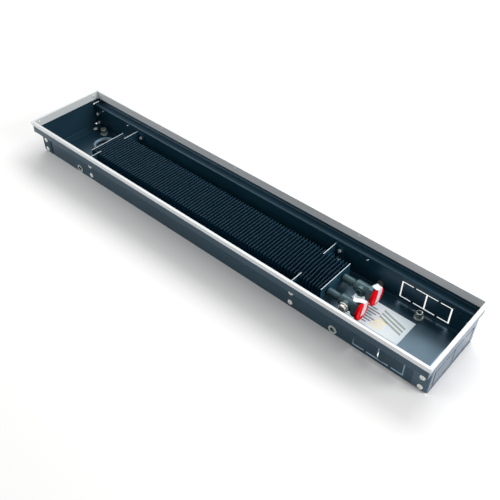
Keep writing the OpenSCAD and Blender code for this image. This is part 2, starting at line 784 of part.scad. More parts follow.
// The hexagon of a tee, with two flats level and its corners turned off
module hex_end() {
  corner_r = tee_hex_af / sqrt(3);
  intersection() {
    translate([tee_hex_x, 0, 0]) rotate([0, 90, 0]) rotate([0, 0, 30])
      cylinder(r = corner_r, h = tee_hex_l, $fn = 6);
    rotate([0, 90, 0]) rotate_extrude() polygon([
      [0, tee_hex_x], [tee_hex_af / 2, tee_hex_x], [corner_r + over, tee_hex_x + hex_chamfer],
      [corner_r + over, tee_x1 - hex_chamfer], [tee_hex_af / 2, tee_x1], [0, tee_x1]
    ]);
  }
}

module tee_front() tee(-1);

module tee_back() tee(1);

// Places a piece on the face of a tee's side boss, pointing out along +Z
module on_boss(side) {
  translate([tee_boss_x, side * tube_y - boss_reach, tube_z]) facing_y(-1) children();
}

module gasket() {
  difference() {
    cylinder(d = plug_flange_d - gasket_inset, h = gasket_t);
    translate([0, 0, -over]) cylinder(r = boss_bore_r + 0.3, h = gasket_t + 2 * over);
  }
}

module vent_gasket() color("#202426") on_boss(-1) gasket();

module plug_gasket() color("#202426") on_boss(1) gasket();

// The threaded stem that the vent and the plug share
module boss_stem() {
  stem_l = boss_bore_l - 1;
  translate([0, 0, -stem_l]) cylinder(r = boss_bore_r - stem_clearance, h = stem_l + gasket_t);
}

module vent_body() color("#b9bbb6") on_boss(-1) difference() {
  union() {
    boss_stem();
    translate([0, 0, gasket_t]) cylinder(d = boss_d, h = vent_flange_t, $fn = 8);
  }
  translate([0, 0, -bleed_stem_l - bleed_gap])
    cylinder(r = bleed_hole_r, h = bleed_stem_l + bleed_gap + gasket_t + vent_flange_t + over);
}

// The bleed screw: a notched head with a driver slot on a plain stem
module bleed_screw() color("#cfcfc8") on_boss(-1) {
  head_z = gasket_t + vent_flange_t + bleed_gap;
  translate([0, 0, -bleed_stem_l])
    cylinder(d = bleed_stem_d, h = bleed_stem_l + head_z + 1);
  translate([0, 0, head_z]) difference() {
    union() {
      cylinder(d = bleed_d, h = bleed_l - 1);
      cylinder(d = bleed_d - 2, h = bleed_l);
    }
    for (i = [0:bleed_notches - 1]) rotate([0, 0, i * 360 / bleed_notches])
      translate([bleed_d / 2, 0, -over]) cylinder(d = 1.6, h = bleed_l + 2 * over);
    translate([-bleed_d, -1, bleed_l - 1.8]) cube([2 * bleed_d, 2, 2 * over + 1.8]);
  }
}

module blank_plug() color(FITTING) on_boss(1) difference() {
  union() {
    boss_stem();
    translate([0, 0, gasket_t]) cylinder(d = plug_flange_d, h = plug_flange_t);
  }
  translate([0, 0, gasket_t + plug_flange_t - plug_socket_l])
    cylinder(r = plug_socket_r, h = plug_socket_l + over, $fn = 6);
}

// A push-in cap: a thick disc with turned edges and a hollow spigot
module cap(side) {
  spigot_r = port_r - cap_fit;
  translate([0, side * tube_y, tube_z]) difference() {
    rotate([0, 90, 0]) rotate_extrude() polygon([
      [0, cap_x - cap_spigot_l], [spigot_r - 0.5, cap_x - cap_spigot_l],
      [spigot_r, cap_x - cap_spigot_l + 0.5], [spigot_r, cap_x],
      [cap_d / 2 - cap_edge, cap_x], [cap_d / 2, cap_x + cap_edge], [cap_d / 2, cap_x1 - cap_edge],
      [cap_d / 2 - cap_edge, cap_x1], [0, cap_x1]
    ]);
    rod_x(cap_x - cap_spigot_l - over, cap_x, spigot_r - 2);
  }
}

module cap_front() color("#d8000e") cap(-1);

module cap_back() color("#d8000e") cap(1);

// Paper tape: up the face of the cap, back over its rim and on as a loose end that rises
module tape(side, drop, tail, lift, curl) {
  rim_z = cap_d / 2 + tape_gap;
  face_x = cap_x1 + tape_gap;
  low_z = -drop;
  translate([0, side * tube_y, tube_z]) rotate([-tape_lean, 0, 0])
    translate([0, tape_aside + tape_w / 2, 0]) rotate([90, 0, 0]) linear_extrude(height = tape_w) {
      translate([face_x, low_z]) square([tape_t, rim_z + tape_t - low_z]);
      translate([cap_x + cap_edge, rim_z]) square([face_x + tape_t - cap_x - cap_edge, tape_t]);
      translate([cap_x + cap_edge + tape_t, rim_z + tape_t]) rotate(180 - lift) {
        square([tail, tape_t]);
        if (curl)
          translate([tail, -tape_curl_r]) intersection() {
            difference() {
              circle(r = tape_curl_r + tape_t);
              circle(r = tape_curl_r);
            }
            square(tape_curl_r + over);
          }
      }
    }
}

module tape_front() color("#f2f0ee")
  tape(-1, tape_front_drop, tape_front_tail, tape_front_lift, true);

module tape_back() color("#f2f0ee")
  tape(1, tape_back_drop, tape_back_tail, tape_back_lift, false);

// ---- inserts, adjusters and label ----

// A threaded insert along +Z: its flange lies on the outer face of the wall at z = 0
module threaded_insert() {
  difference() {
    union() {
      cylinder(d = insert_flange_d, h = insert_flange_t);
      translate([0, 0, -sheet_t - over / 2]) cylinder(d = insert_neck_d, h = sheet_t + over);
      translate([0, 0, -sheet_t - insert_barrel_l]) cylinder(d = insert_barrel_d, h = insert_barrel_l);
    }
    translate([0, 0, -sheet_t - insert_barrel_l - over])
      cylinder(r = insert_bore_r, h = sheet_t + insert_barrel_l + insert_flange_t + 2 * over);
  }
}

module side_inserts() color(SILVER)
  for (x = insert_x, side = [-1, 1])
    translate([x, side * low_out_y, insert_z]) facing_y(side) threaded_insert();

// A threaded bush that is pressed into the floor
module level_bush(x, side) {
  seat_r = bush_seat_d / 2 - bush_seat_fit;
  flange_top = sheet_t + bush_flange_t;
  translate([x, side * level_y, 0]) difference() {
    rotate_extrude() polygon([
      [0, 0], [seat_r, 0], [seat_r, sheet_t],
      [bush_flange_d / 2, sheet_t], [bush_flange_d / 2, flange_top - flange_chamfer],
      [bush_flange_d / 2 - flange_chamfer, flange_top], [bush_neck_d / 2, flange_top],
      [bush_neck_d / 2, bush_top_z - bush_chamfer], [bush_neck_d / 2 - bush_chamfer, bush_top_z],
      [0, bush_top_z]
    ]);
    translate([0, 0, -over]) cylinder(r = level_hole_r, h = bush_top_z + 2 * over);
  }
}

module level_bush_left_front() color("#6f7d80") level_bush(level_x[0], -1);

module level_bush_left_back() color("#6f7d80") level_bush(level_x[0], 1);

module level_bush_right_front() color("#6f7d80") level_bush(level_x[1], -1);

module level_bush_right_back() color("#6f7d80") level_bush(level_x[1], 1);

// An adjusting screw with a hexagon socket above and the seat of its tip below
module level_screw(x, side) {
  screw_z0 = level_screw_z0 + tip_gap;
  screw_top = bush_top_z - screw_sink;
  translate([x, side * level_y, 0]) difference() {
    translate([0, 0, screw_z0]) cylinder(d = level_screw_d, h = screw_top - screw_z0);
    translate([0, 0, screw_top - level_hex_l])
      cylinder(r = level_hex_af / sqrt(3), h = level_hex_l + over, $fn = 6);
    translate([0, 0, level_screw_z0 - over])
      cylinder(d = tip_pin_d + 2 * tip_pin_gap, h = tip_pin_l + over + tip_pin_end);
  }
}

// The swivel tip that bears on the ground when a screw is turned down
module level_tip(x, side) {
  translate([x, side * level_y, level_tip_z]) {
    cylinder(r = level_hole_r - tip_inset, h = level_tip_t);
    translate([0, 0, level_tip_t / 2]) cylinder(d = tip_pin_d, h = level_tip_t / 2 + tip_pin_l);
  }
}

module level_screw_left_front() color("#8d9799") level_screw(level_x[0], -1);

module level_screw_left_back() color("#8d9799") level_screw(level_x[0], 1);

module level_screw_right_front() color("#8d9799") level_screw(level_x[1], -1);

module level_screw_right_back() color("#8d9799") level_screw(level_x[1], 1);

module level_tip_left_front() color("#3a3f42") level_tip(level_x[0], -1);

module level_tip_left_back() color("#3a3f42") level_tip(level_x[0], 1);

module level_tip_right_front() color("#3a3f42") level_tip(level_x[1], -1);

module level_tip_right_back() color("#3a3f42") level_tip(level_x[1], 1);

module floor_label() color("#e6ebf2")
  translate([label_x, label_y, sheet_t]) cube([label_l, label_w, label_t]);

trough_pan();
end_wall_left();
end_wall_right();
wall_rivets();
frame_front();
frame_back();
frame_left();
frame_right();
frame_rivets();
fin_pack();
end_plate_left();
end_plate_right();
tube_front();
tube_back();
return_bend();
bracket_left();
bracket_right();
bracket_rivets();
tee_front();
tee_back();
vent_gasket();
plug_gasket();
vent_body();
bleed_screw();
blank_plug();
cap_front();
cap_back();
tape_front();
tape_back();
side_inserts();
level_bush_left_front();
level_bush_left_back();
level_bush_right_front();
level_bush_right_back();
level_screw_left_front();
level_screw_left_back();
level_screw_right_front();
level_screw_right_back();
level_tip_left_front();
level_tip_left_back();
level_tip_right_front();
level_tip_right_back();
floor_label();
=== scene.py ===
"""Trench convector heater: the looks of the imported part, in metres, in the part's own frame."""

import json
import math
import random

import bmesh
import bpy
from mathutils import Matrix, Vector


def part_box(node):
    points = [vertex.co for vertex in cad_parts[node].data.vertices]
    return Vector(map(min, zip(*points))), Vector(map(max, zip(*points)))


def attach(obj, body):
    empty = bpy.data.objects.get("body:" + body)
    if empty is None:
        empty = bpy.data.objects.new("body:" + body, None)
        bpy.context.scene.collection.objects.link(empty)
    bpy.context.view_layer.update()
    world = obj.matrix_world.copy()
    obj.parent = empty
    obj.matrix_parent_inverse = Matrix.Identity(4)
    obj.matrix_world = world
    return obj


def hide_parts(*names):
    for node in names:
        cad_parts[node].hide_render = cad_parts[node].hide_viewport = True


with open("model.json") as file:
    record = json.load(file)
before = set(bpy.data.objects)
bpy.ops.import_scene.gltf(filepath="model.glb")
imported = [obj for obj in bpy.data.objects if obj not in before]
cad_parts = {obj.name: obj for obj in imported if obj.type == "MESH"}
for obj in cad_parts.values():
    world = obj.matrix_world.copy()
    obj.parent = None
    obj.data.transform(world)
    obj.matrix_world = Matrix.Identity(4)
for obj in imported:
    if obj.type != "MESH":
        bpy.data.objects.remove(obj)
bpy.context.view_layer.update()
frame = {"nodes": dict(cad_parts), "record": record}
nodes = frame["nodes"]
MM = 0.001

# Camera of the photograph, fitted to the corners of the edge frame
CAMERA_AT = Vector((0.7283, -0.7665, 0.9362))
CAMERA_TARGET = Vector((0.11543, -0.06003, 0.060))
CAMERA_ROLL = math.radians(0.892)
CAMERA_LENS = 48.51
CAMERA_NEAR = 0.01
SENSOR = 36

# ---- colours and places of the looks ----

# Tint of the gloss of the dark paint, and the paint itself
GLOSS_TINT = (0.56, 0.80, 1.0)
TROUGH_PAINT = (0.0042, 0.0210, 0.0345)
PLATE_PAINT = tuple(channel * 1.5 for channel in TROUGH_PAINT)
# Painted glare, paler than the trough's paint, on the outer face of the right end wall
END_FACE_GLARE = (0.036, 0.062, 0.105)
# Bare metal on cut edges, also used as a painted highlight on the top edges of the plates
BARE_STEEL_AND_HIGHLIGHT = (0.62, 0.66, 0.68)
# Fins: lacquer, painted light on their faces lower down between them, and a painted highlight on
# the top edge
FIN_PAINT = (0.0014, 0.008, 0.015)
FIN_PAINTED_LIGHT = (0.012, 0.055, 0.100)
FIN_EDGE_HIGHLIGHT = (0.050, 0.115, 0.155)
# Zinc: bright, clouded, with painted shade on a neck, and dark in a thread and on a barrel (painted
# shade in the thread, the barrel's own dark colour)
ZINC = (0.60, 0.68, 0.64)
ZINC_CLOUD = (0.43, 0.49, 0.46)
ZINC_NECK_SHADE = (0.16, 0.19, 0.18)
BORE_SHADE_AND_DARK_BARREL = (0.035, 0.045, 0.042)
RED = (0.86, 0.0015, 0.008)
RED_GLOSS_TINT = (1, 0.3, 0.3)
RUBBER = (0.02, 0.022, 0.024)
INK_DARK = (0.10, 0.13, 0.16)
INK_WARM = (0.86, 0.86, 0.55)
INK_WARM_FADE = (0.84, 0.88, 0.92)
INK_GREEN = (0.33, 0.40, 0.38)
FLOOR = (0.845, 0.84, 0.83)
FLOOR_CLOUD = (0.83, 0.825, 0.815)

# Height of the painted highlight on the fins' top edge, and how far below the top the painted light
# on their faces starts and ends
FIN_EDGE = 0.45 * MM
FIN_DEPTH_FROM = 4 * MM
FIN_DEPTH_TO = 40 * MM
# Height of the painted highlight on the top edge of the end plates and brackets
PLATE_EDGE = 0.5 * MM
# Sheet of the trough, paint left on its faces at a slit, and width of the ledge over the low wall
SHEET = 1.2 * MM
SLIT_SKIN = 0.1 * MM
LEDGE_STEP = 20 * MM
# Span of the knock-outs in the long walls, along the trough and upwards
SLITS_ALONG = (0.3, 0.52)
SLITS_UP = (7 * MM, 52 * MM)
# Part of the right end wall's outside that has the painted glare, from its face inwards
END_SKIN = 0.15 * MM
# Part of the flange of a threaded insert that stays bright, from its face inwards
INSERT_FLANGE = 0.6 * MM
# Parts of a levelling bush that stay bright, free of the painted shade on its neck: its flange at
# the bottom and its rim at the top
BUSH_FLANGE = 3.2 * MM
BUSH_RIM = 0.9 * MM


def scaled(colour, factor):
    """The same colour, lighter or darker."""
    return tuple(channel * factor for channel in colour)


# ---- materials ----


class Shader:
    """A node material with one Principled shader, built up call by call."""

    # Character of every noise, and the span of its values that spread() maps
    NOISE_ROUGHNESS = 0.55
    NOISE_LOW = 0.35
    NOISE_HIGH = 0.65

    def __init__(self, name, colour, roughness=0.5, metallic=0.0, specular=0.5):
        self.material = bpy.data.materials.new(name)
        self.material.use_nodes = True
        self.tree = self.material.node_tree
        self.bsdf = self.tree.nodes["Principled BSDF"]
        self.colour = colour
        self.bsdf.inputs["Base Color"].default_value = (*colour, 1)
        self.bsdf.inputs["Roughness"].default_value = roughness
        self.bsdf.inputs["Metallic"].default_value = metallic
        self.bsdf.inputs["Specular IOR Level"].default_value = specular
        self.coords = self.tree.nodes.new("ShaderNodeTexCoord").outputs["Object"]
        self.axes = None

    def node(self, kind, **values):
        """A new node of this kind, with these settings."""
        made = self.tree.nodes.new("ShaderNode" + kind)
        for key, value in values.items():
            setattr(made, key, value)
        return made

    def link(self, source, target):
        """Links one socket to another."""
        self.tree.links.new(source, target)

    def gloss(self, tint, ior=None):
        """Gives the highlights a tint and, where asked, another strength."""
        self.bsdf.inputs["Specular Tint"].default_value = (*tint, 1)
        if ior is not None:
            self.bsdf.inputs["IOR"].default_value = ior

    def noise(self, scale, stretch=(1, 1, 1), detail=3.0):
        """A noise of the given scale, in cells per metre along each axis."""
        mapping = self.node("Mapping")
        self.link(self.coords, mapping.inputs["Vector"])
        mapping.inputs["Scale"].default_value = stretch
        made = self.node("TexNoise")
        self.link(mapping.outputs["Vector"], made.inputs["Vector"])
        made.inputs["Scale"].default_value = scale
        made.inputs["Detail"].default_value = detail
        made.inputs["Roughness"].default_value = self.NOISE_ROUGHNESS
        return made.outputs["Fac"]

    def spread(self, source, low, high):
        """Maps a noise to the span from low to high."""
        made = self.node("MapRange")
        self.link(source, made.inputs["Value"])
        made.inputs["From Min"].default_value = self.NOISE_LOW
        made.inputs["From Max"].default_value = self.NOISE_HIGH
        made.inputs["To Min"].default_value = low
        made.inputs["To Max"].default_value = high
        return made.outputs["Result"]

    def between(self, axis, low, high):
        """A mask that is 1 where the place along an axis, in metres, lies between two values."""
        if self.axes is None:
            self.axes = self.node("SeparateXYZ")
            self.link(self.coords, self.axes.inputs[0])
        made = self.node("Math", operation="COMPARE")
        self.link(self.axes.outputs[axis], made.inputs[0])
        made.inputs[1].default_value = (low + high) / 2
        made.inputs[2].default_value = (high - low) / 2
        return made.outputs[0]

    def times(self, first, second):
        """The product of two sockets."""
        made = self.node("Math", operation="MULTIPLY")
        self.link(first, made.inputs[0])
        self.link(second, made.inputs[1])
        return made.outputs[0]

    def vary_colour(self, factor, other):
        """Mixes another colour over the colour so far, where the factor is high."""
        base = self.bsdf.inputs["Base Color"]
        mix = self.node("Mix", data_type="RGBA")
        self.link(factor, mix.inputs["Factor"])
        if base.links:
            self.link(base.links[0].from_socket, mix.inputs["A"])
        else:
            mix.inputs["A"].default_value = (*self.colour, 1)
        mix.inputs["B"].default_value = (*other, 1)
        self.link(mix.outputs["Result"], base)

    def vary_roughness(self, factor, low, high):
        """Lets the roughness follow a noise, from low to high."""
        self.link(self.spread(factor, low, high), self.bsdf.inputs["Roughness"])

    def bump(self, factor, strength, depth):
        """Lets the surface follow a noise."""
        made = self.node("Bump")
        made.inputs["Strength"].default_value = strength
        made.inputs["Distance"].default_value = depth
        self.link(factor, made.inputs["Height"])
        self.link(made.outputs["Normal"], self.bsdf.inputs["Normal"])


def orange_peel(made, low, high):
    """The fine waves of a powder coat, and its clouds of gloss from low to high roughness."""
    made.vary_roughness(made.noise(14, detail=5.0), low, high)
    made.bump(made.noise(1400, detail=1.0), strength=0.12, depth=0.12 * MM)


def powder_coat(name, colour, roughness, pale_edges=(), ior=1.7):
    """Satin powder coat: orange peel, soft clouds in colour and gloss, and pale edges: bare metal
    on cut edges, painted highlight on top edges.

    Each item of pale_edges is a list of (axis, low, high) that bounds one pale place: bare metal
    where the sheet was cut (the slits of the trough), painted highlight on a top edge (the plates).
    """
    made = Shader(name, colour, roughness)
    made.gloss(GLOSS_TINT, ior)
    made.vary_colour(made.spread(made.noise(9), 0, 1), scaled(colour, 1.35))
    made.vary_colour(made.spread(made.noise(900, detail=1.0), 0, 0.35), scaled(colour, 1.8))
    # Pale edges: bare metal at the cuts, painted highlight on top edges
    for bounds in pale_edges:
        mask, *others = [made.between(*bound) for bound in bounds]
        for other in others:
            mask = made.times(mask, other)
        made.vary_colour(mask, BARE_STEEL_AND_HIGHLIGHT)
    orange_peel(made, roughness - 0.04, roughness + 0.05)
    return made.material


def end_paint():
    """Glossy paint of the right end wall, with a painted glare that makes its outer face paler than
    its folds and slits.
    """
    made = Shader("end_paint", TROUGH_PAINT)
    made.gloss(GLOSS_TINT, 2.0)
    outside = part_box("end_wall_right")[1].x
    made.vary_colour(made.spread(made.noise(9), 0, 1), scaled(TROUGH_PAINT, 1.35))
    # Painted glare on the outer face, with paler specks in it
    face = made.between("X", outside - END_SKIN, outside + MM)
    made.vary_colour(face, END_FACE_GLARE)
    speckle = made.spread(made.noise(900, detail=1.0), 0, 0.5)
    made.vary_colour(made.times(face, speckle), scaled(END_FACE_GLARE, 1.5))
    orange_peel(made, 0.16, 0.25)
    return made.material


def long_wall_cuts():
    """Cut faces of the knock-out slits in the long walls: inside the sheet, round the panels."""
    wall_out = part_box("trough_pan")[1].y - LEDGE_STEP
    cuts = []
    for side in (-1, 1):
        inner = side * (wall_out - SHEET + SLIT_SKIN)
        outer = side * (wall_out - SLIT_SKIN)
        across = (min(inner, outer), max(inner, outer))
        cuts.append([("Y", *across), ("X", *SLITS_ALONG), ("Z", *SLITS_UP)])
    return cuts


def top_edge(node):
    """The top edge of a plate, where a highlight is painted."""
    above = 1
    return [[("Z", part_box(node)[1].z - PLATE_EDGE, above)]]


def anodised(name, colour, roughness):
    """Anodised aluminium with the fine drawn lines of an extrusion."""
    made = Shader(name, colour, roughness, metallic=0.1, specular=0.3)
    made.vary_colour(made.spread(made.noise(260, (0.02, 1, 1)), 0, 0.5), scaled(colour, 0.9))
    made.vary_roughness(made.noise(420, (0.03, 1, 1)), roughness - 0.06, roughness + 0.08)
    made.bump(made.noise(1500, (0.01, 1, 1), detail=2.0), strength=0.08, depth=0.06 * MM)
    return made.material


def cast_metal(name, colour, roughness, grain=700, ior=1.5):
    """Painted metal with a fine grain and darker clouds."""
    made = Shader(name, colour, roughness, metallic=0.1)
    made.gloss(GLOSS_TINT, ior)
    made.vary_colour(made.spread(made.noise(60), 0, 0.6), scaled(colour, 0.8))
    made.vary_roughness(made.noise(90, detail=4.0), roughness - 0.05, roughness + 0.07)
    made.bump(made.noise(grain, detail=2.0), strength=0.07, depth=0.08 * MM)
    return made.material


def turned_shader(name, colour, roughness, metallic, cloud):
    """A shader of bright turned or drawn metal, with fine scratches."""
    made = Shader(name, colour, roughness, metallic=metallic)
    made.vary_colour(made.spread(made.noise(500), 0, 0.6), cloud)
    made.vary_roughness(made.noise(300), roughness - 0.08, roughness + 0.12)
    made.bump(made.noise(1800, detail=2.0), strength=0.1, depth=0.05 * MM)
    return made


def turned_metal(name, colour, roughness, metallic=0.5):
    """Bright turned or drawn metal in one colour."""
    return turned_shader(name, colour, roughness, metallic, scaled(colour, 0.72)).material


def bush_metal(node):
    """Zinc of a levelling bush: bright on its flange and rim, with painted shade on its neck."""
    made = turned_shader(node + "_zinc", ZINC, 0.34, 0.6, ZINC_CLOUD)
    low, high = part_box(node)
    neck = made.between("Z", low.z + BUSH_FLANGE, high.z - BUSH_RIM)
    # Painted shade on the neck
    made.vary_colour(made.times(neck, made.spread(made.noise(300), 0.6, 1)), ZINC_NECK_SHADE)
    return made.material


def insert_metal():
    """Zinc on the flanges of the threaded inserts; painted shade in the thread, and the barrel's
    own dark colour inside the trough.
    """
    made = turned_shader("insert_zinc", ZINC, 0.34, 0.6, ZINC_CLOUD)
    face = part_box("side_inserts")[1].y - INSERT_FLANGE
    inside = made.between("Y", -face, face)
    # Dark behind the flange face: painted shade in the bore, the barrel's own dark colour
    made.vary_colour(made.times(inside, made.spread(made.noise(700), 0.7, 1)), BORE_SHADE_AND_DARK_BARREL)
    return made.material


def fin_metal():
    """Dark lacquer on thin aluminium, with painted light lower down on the faces and a painted
    highlight along the top edge.
    """
    made = Shader("fin_paint", FIN_PAINT, specular=0.2)
    made.gloss(GLOSS_TINT)
    clouds = made.noise(60, (6, 0.6, 1))
    made.vary_colour(made.spread(clouds, 0, 0.8), scaled(FIN_PAINT, 1.6))
    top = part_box("fin_pack")[1].z
    # Painted light on the faces, from a little below the top downwards
    made.vary_colour(made.between("Z", top - FIN_DEPTH_TO, top - FIN_DEPTH_FROM), FIN_PAINTED_LIGHT)
    # Painted highlight along the top edge
    edge = made.between("Z", top - FIN_EDGE, top + MM)
    made.vary_colour(made.times(edge, made.spread(made.noise(220), 0.6, 1)), FIN_EDGE_HIGHLIGHT)
    made.vary_roughness(made.noise(300), 0.42, 0.6)
    made.bump(made.noise(900, detail=2.0), strength=0.12, depth=0.1 * MM)
    return made.material


def red_plastic():
    """Soft red plastic of the protective caps."""
    made = Shader("red_plastic", RED, specular=0.06)
    made.gloss(RED_GLOSS_TINT)
    made.vary_colour(made.spread(made.noise(90), 0, 0.6), scaled(RED, 0.8))
    made.vary_roughness(made.noise(500), 0.44, 0.58)
    made.bump(made.noise(1600, detail=2.0), strength=0.08, depth=0.08 * MM)
    return made.material


def paper(name, colour, tint):
    """Paper with faint clouds and a fine tooth."""
    made = Shader(name, colour)
    made.vary_colour(made.spread(made.noise(45), 0, 0.7), tint)
    made.vary_roughness(made.noise(900), 0.55, 0.75)
    made.bump(made.noise(1500, detail=4.0), strength=0.2, depth=0.08 * MM)
    return made.material


def ink(name, colour, fade=None):
    """Printed ink, with an uneven patch of another colour where fade is given."""
    made = Shader(name, colour, 0.6)
    made.vary_colour(made.spread(made.noise(700), 0, 0.6), scaled(colour, 1.3))
    if fade:
        made.vary_colour(made.spread(made.noise(110, detail=2.0), 0, 1), fade)
    made.bump(made.noise(1500), strength=0.15, depth=0.06 * MM)
    return made.material


def rubber():
    """Dull dark rubber of the gaskets."""
    made = Shader("rubber", RUBBER, 0.7)
    made.vary_colour(made.spread(made.noise(500), 0, 0.6), scaled(RUBBER, 1.8))
    made.bump(made.noise(1500), strength=0.3, depth=0.1 * MM)
    return made.material


# The materials by name; the material slots of the record are among them
MATERIALS = {
    "trough": powder_coat("trough_paint", TROUGH_PAINT, 0.34, long_wall_cuts()),
    "frame": anodised("anodised_frame", (0.675, 0.695, 0.70), 0.46),
    "rivet": turned_metal("rivet_metal", (0.90, 0.90, 0.88), 0.35, 0.25),
    "fins": fin_metal(),
    "plates": powder_coat("plate_paint", PLATE_PAINT, 0.32),
    "tubes": cast_metal("tube_paint", (0.004, 0.013, 0.020), 0.24),
    "fittings": cast_metal("fitting_paint", (0.058, 0.100, 0.106), 0.38),
    "gasket": rubber(),
    "nickel": turned_metal("nickel", (0.74, 0.74, 0.69), 0.32),
    "cap": red_plastic(),
    "paper": paper("paper", (0.66, 0.67, 0.72), (0.72, 0.70, 0.74)),
    "label": paper("label_paper", (0.80, 0.92, 0.98), (0.86, 0.94, 0.95)),
    "zinc": turned_metal("zinc", ZINC, 0.34, 0.6),
    "tip": turned_metal("dark_zinc", (0.10, 0.12, 0.12), 0.45),
}


def dress(piece, material):
    """Gives a piece this material alone."""
    piece.data.materials.clear()
    piece.data.materials.append(material)


def paint(piece, slot):
    """Gives a piece the material of its slot."""
    dress(piece, MATERIALS[slot])


def paint_nodes():
    """Paints every solid of the frame by its slot, then the ones with a look of their own."""
    for part in frame["record"]["subparts"]:
        paint(nodes[part["node"]], part["material_slot"])
    for node in ("end_plate_left", "end_plate_right", "bracket_left", "bracket_right"):
        # The end plates and brackets get a painted highlight along their top edge
        dress(nodes[node], powder_coat(node + "_paint", PLATE_PAINT, 0.3, top_edge(node)))
    left_paint = powder_coat("left_end_paint", TROUGH_PAINT, 0.58, ior=1.5)
    bend_paint = cast_metal("bend_paint", (0.012, 0.030, 0.042), 0.42, grain=3000, ior=2.2)
    dress(nodes["end_wall_left"], left_paint)
    dress(nodes["end_wall_right"], end_paint())
    dress(nodes["return_bend"], bend_paint)
    dress(nodes["side_inserts"], insert_metal())
    dress(nodes["blank_plug"], MATERIALS["fittings"])
    dress(nodes["floor_label"], MATERIALS["label"])
    for node in nodes:
        if node.startswith("level_bush"):
            dress(nodes[node], bush_metal(node))
        if node.startswith("level_screw"):
            dress(nodes[node], MATERIALS["tip"])


# ---- pieces ----


def mesh_object(name, vertices, faces, smooth=True):
    """A mesh piece with its faces turned outwards."""
    mesh = bpy.data.meshes.new(name)
    mesh.from_pydata([tuple(v) for v in vertices], [], faces)
    work = bmesh.new()
    work.from_mesh(mesh)
    bmesh.ops.recalc_face_normals(work, faces=work.faces)
    work.to_mesh(mesh)
    work.free()
    for polygon in mesh.polygons:
        polygon.use_smooth = smooth
    made = bpy.data.objects.new(name, mesh)
    bpy.context.scene.collection.objects.link(made)
    return made


def thicken(piece, thickness):
    """Makes a sheet of a surface, half of it on each side."""
    solid = piece.modifiers.new("thickness", "SOLIDIFY")
    solid.thickness = thickness
    solid.offset = 0


# Stations of the tapes, each its near and its far edge: mm back from the cap's face, mm aside of
# its axis, mm over it
FRONT_TAPE = (
    ((0, -5, -9.5), (0, 8, -11.5)), ((0, -4.8, -5), (0, 9.6, -6)),
    ((0, -4.4, 0), (0, 10.4, -1)), ((0, -3.9, 6), (0, 10.8, 4.6)),
    ((0, -3.8, 11.5), (0, 10.2, 10)), ((0, -4.2, 15.6), (0, 9, 14)),
    ((-0.1, -4.6, 18.6), (-0.1, 8.4, 17)), ((0.6, -4.9, 20), (0.8, 7.8, 19)),
    ((1.8, -5.4, 20), (2.8, 7, 19.4)), ((4, -6, 20), (5.4, 6.4, 19.8)),
    ((6.6, -7.6, 20), (8.6, 5.6, 20.2)), ((9.4, -10.6, 20.2), (11.4, 3.4, 20.8)),
    ((12, -13.4, 20.3), (14.2, 0, 21)), ((14.6, -15.4, 20.6), (16.6, -4.6, 21.4)),
    ((16.6, -16.4, 21.2), (19, -8, 24.4)), ((17.9, -16.4, 21.8), (21.2, -8.6, 27.6)),
)
BACK_TAPE = (
    ((0, -3.8, -15.5), (0, 8.4, -15)), ((0, -3.8, -8), (0, 8.8, -8)),
    ((0, -3.7, 0), (0, 9.8, -1)), ((0, -4.4, 7), (0, 10.4, 5.4)),
    ((0, -5.2, 11.5), (0, 9.4, 11)), ((0, -6.4, 15.2), (0, 7.8, 15.4)),
    ((-0.1, -7.4, 17.6), (-0.1, 6.8, 17.8)), ((0.6, -8.4, 18.4), (0.6, 6, 19.6)),
    ((1.6, -9.4, 18.4), (1.8, 5.2, 20)), ((3.4, -10.4, 18.8), (3.6, 4.6, 20.3)),
    ((5.8, -10.8, 19.3), (5.8, 4.4, 20.9)), ((8.4, -10.6, 20), (7.8, 4.4, 21.5)),
    ((11.2, -10, 20.6), (9.3, 4, 22.1)), ((13.5, -9.4, 21), (10.2, 3.6, 22.5)),
)
TAPE_ACROSS = 12
TAPE_T = 0.22 * MM
TAPE_LEAN = math.radians(14)
# Distance of the tape from the cap's face and from its rim
TAPE_LIFT = 0.25 * MM
TAPE_CLEAR = 0.6 * MM
# Creases of the loose end: their height in mm, and how many radians of wave run across the tape
TAPE_CREASE = 0.12
TAPE_CREASE_WAVE = 7


def build_tape(side, body, stations):
    """White paper tape over a cap: up its face, over the rim and on as a loose end."""
    low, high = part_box("cap_" + side)
    axis_y = (low.y + high.y) / 2
    axis_z = (low.z + high.z) / 2
    rim = (high.z - low.z) / 2 + TAPE_CLEAR
    rng = random.Random("tape " + side)
    vertices, faces = [], []
    for near, far in stations:
        crease = rng.uniform(-TAPE_CREASE, TAPE_CREASE) if far[0] > 0 else 0
        for i in range(TAPE_ACROSS + 1):
            t = i / TAPE_ACROSS
            back, aside, up = (MM * (a + (b - a) * t) for a, b in zip(near, far))
            if back > 0:
                over_rim = math.sqrt(max(0, rim * rim - aside * aside))
                up = max(up, over_rim) + crease * math.cos(TAPE_CREASE_WAVE * t) * MM
            y = axis_y + aside * math.cos(TAPE_LEAN) + up * math.sin(TAPE_LEAN)
            z = axis_z - aside * math.sin(TAPE_LEAN) + up * math.cos(TAPE_LEAN)
            vertices.append((high.x + TAPE_LIFT - back, y, z))
    row = TAPE_ACROSS + 1
    for i in range(len(stations) - 1):
        for j in range(TAPE_ACROSS):
            a = i * row + j
            faces.append((a, a + 1, a + row + 1, a + row))
    piece = mesh_object("paper_tape_" + side, vertices, faces)
    smooth = piece.modifiers.new("smooth", "SUBSURF")
    smooth.levels = smooth.render_levels = 1
    thicken(piece, TAPE_T)
    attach(piece, body)
    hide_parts("tape_" + side)
    paint(piece, "paper")


FIN_COUNT = 88
# Thickness of a fin in the CAD, and as it is shown
FIN_CAD_T = 0.4 * MM
FIN_T = 0.34 * MM
# Grid of one fin, along its width and upwards
FIN_COLUMNS = 26
FIN_ROWS = 10
